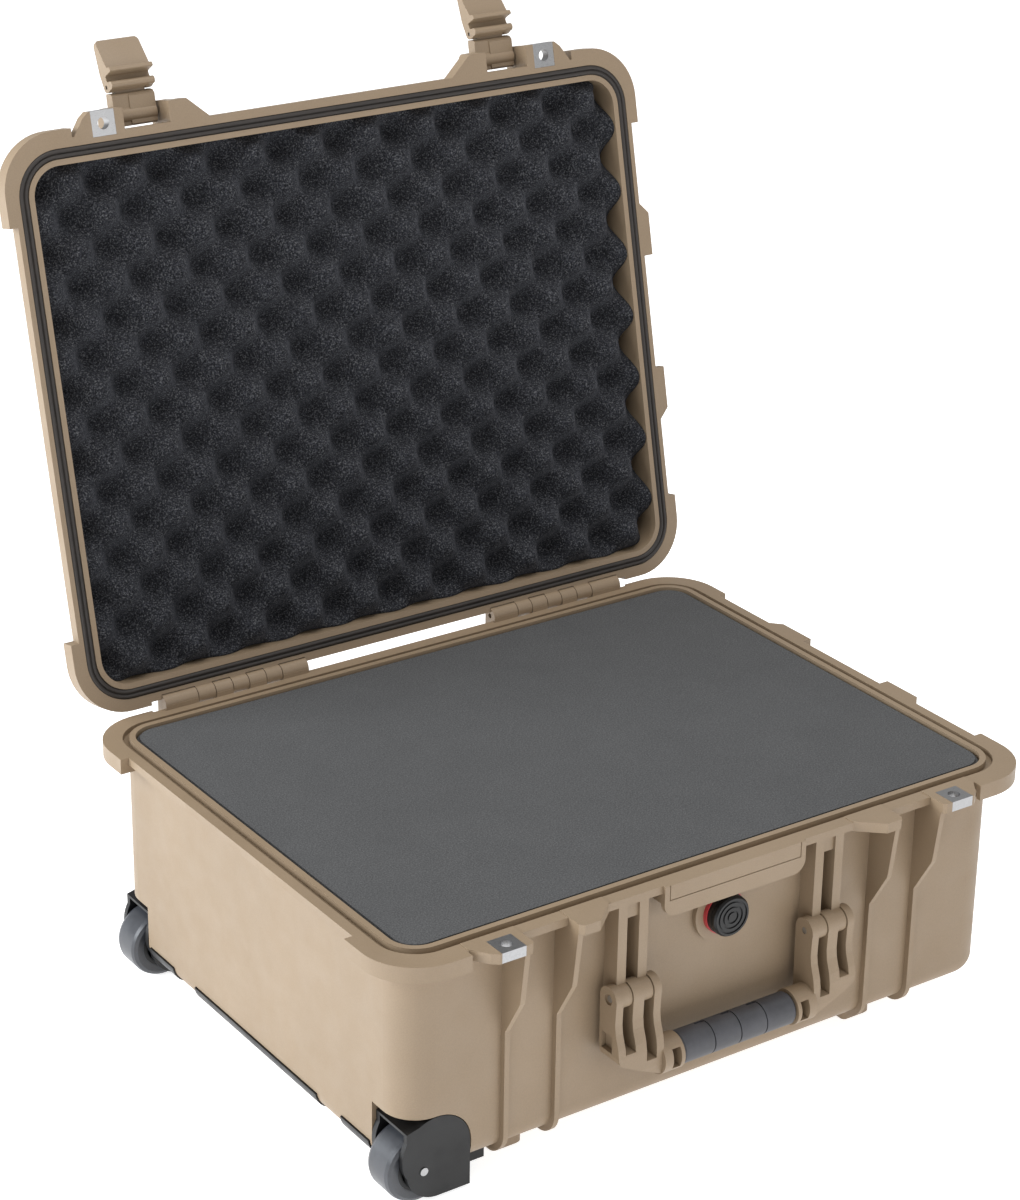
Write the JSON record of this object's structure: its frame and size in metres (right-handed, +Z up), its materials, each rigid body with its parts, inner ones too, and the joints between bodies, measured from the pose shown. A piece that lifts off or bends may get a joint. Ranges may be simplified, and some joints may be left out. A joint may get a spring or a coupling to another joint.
{
  "type": "hard equipment case",
  "caption": "Rugged foam-filled equipment case with hinged lid, draw latches, swing handles, wheels and a pull-out trolley handle.",
  "frame": {"origin": "on the ground, centred under the base's outside walls", "axes": "+X along the long side, away from the wheels; +Y from the latches towards the hinges; +Z up"},
  "size_m": [0.5663, 0.5794, 0.6666],
  "materials": {
    "shell": "fine-grained tan moulding",
    "foam": "open-cell charcoal foam",
    "lid_foam": "convoluted dark foam",
    "black_plastic": "moulded black plastic",
    "red_trim": "moulded red plastic",
    "seal_rubber": "soft black rubber",
    "tyre_rubber": "smooth black rubber",
    "grip_rubber": "dark blue-grey overmoulded rubber",
    "stainless": "brushed stainless steel",
    "tube_metal": "dark anodised aluminium"
  },
  "bodies": {
    "base": {"base_shell": "shell", "floor_pad_foam": "foam", "lower_foam": "foam", "upper_foam": "foam", "valve_body": "black_plastic", "valve_seal": "red_trim", "valve_cap": "black_plastic", "valve_nut": "black_plastic", "base_lock_plates": "stainless", "hinge_pins": "stainless", "front_handle_pins": "stainless", "end_handle_pins": "stainless", "trolley_channels": "tube_metal", "trolley_brackets": "tube_metal", "trolley_screws": "stainless", "wheel_housing_front": "black_plastic", "wheel_housing_rear": "black_plastic", "housing_screws": "stainless", "axles": "stainless", "edge_strips": "black_plastic", "strip_screws": "stainless"},
    "lid": {"lid_shell": "shell", "lid_seal": "seal_rubber", "lid_foam": "lid_foam", "lid_lock_plates": "stainless", "latch_arm_pins": "stainless"},
    "left_latch_arm": {"latch_arm_left": "shell", "lever_pin_left": "stainless"},
    "right_latch_arm": {"latch_arm_right": "shell", "lever_pin_right": "stainless"},
    "left_latch_lever": {"latch_lever_left": "shell"},
    "right_latch_lever": {"latch_lever_right": "shell"},
    "front_handle": {"front_handle_frame": "shell", "front_handle_grip": "grip_rubber"},
    "end_handle": {"end_handle_frame": "shell", "end_handle_grip": "grip_rubber"},
    "trolley_handle": {"trolley_tubes": "tube_metal", "trolley_grip": "black_plastic"},
    "release_button": {"trolley_button": "red_trim"},
    "front_wheel": {"wheel_hub_front": "black_plastic", "tyre_front": "tyre_rubber"},
    "rear_wheel": {"wheel_hub_rear": "black_plastic", "tyre_rear": "tyre_rubber"}
  },
  "joints": [
    {"name": "lid_hinge", "type": "hinge", "parent": "base", "child": "lid", "pos_m": [0, 0.2134, 0.1984], "axis": [1, 0, 0], "range_deg": [0, 102.5]},
    {"name": "left_latch_swing", "type": "hinge", "parent": "lid", "child": "left_latch_arm", "pos_m": [-0.158, 0.32504, 0.61604], "axis": [1, 0, 0], "range_deg": [0, 90]},
    {"name": "left_latch_pull", "type": "hinge", "parent": "left_latch_arm", "child": "left_latch_lever", "pos_m": [-0.158, 0.33203, 0.636], "axis": [1, 0, 0], "range_deg": [-25, 22]},
    {"name": "right_latch_swing", "type": "hinge", "parent": "lid", "child": "right_latch_arm", "pos_m": [0.158, 0.32504, 0.61604], "axis": [1, 0, 0], "range_deg": [0, 90]},
    {"name": "right_latch_pull", "type": "hinge", "parent": "right_latch_arm", "child": "right_latch_lever", "pos_m": [0.158, 0.33203, 0.636], "axis": [1, 0, 0], "range_deg": [-25, 22]},
    {"name": "front_handle_swing", "type": "hinge", "parent": "base", "child": "front_handle", "pos_m": [0, -0.21, 0.121], "axis": [1, 0, 0], "range_deg": [-95, 0]},
    {"name": "end_handle_swing", "type": "hinge", "parent": "base", "child": "end_handle", "pos_m": [0.271, 0, 0.121], "axis": [0, -1, 0], "range_deg": [0, 95]},
    {"name": "trolley_slide", "type": "slide", "parent": "base", "child": "trolley_handle", "axis": [1, 0, 0], "range_m": [0, 0.34]},
    {"name": "release_press", "type": "slide", "parent": "trolley_handle", "child": "release_button", "axis": [0, 0, -1], "range_m": [0, 0.0035], "stiffness_N_per_m": 800, "springref_m": -0.002},
    {"name": "front_wheel_spin", "type": "hinge", "parent": "base", "child": "front_wheel", "pos_m": [-0.2415, -0.1765, 0.026], "axis": [0, 1, 0], "continuous": true},
    {"name": "rear_wheel_spin", "type": "hinge", "parent": "base", "child": "rear_wheel", "pos_m": [-0.2415, 0.1765, 0.026], "axis": [0, 1, 0], "continuous": true}
  ]
}
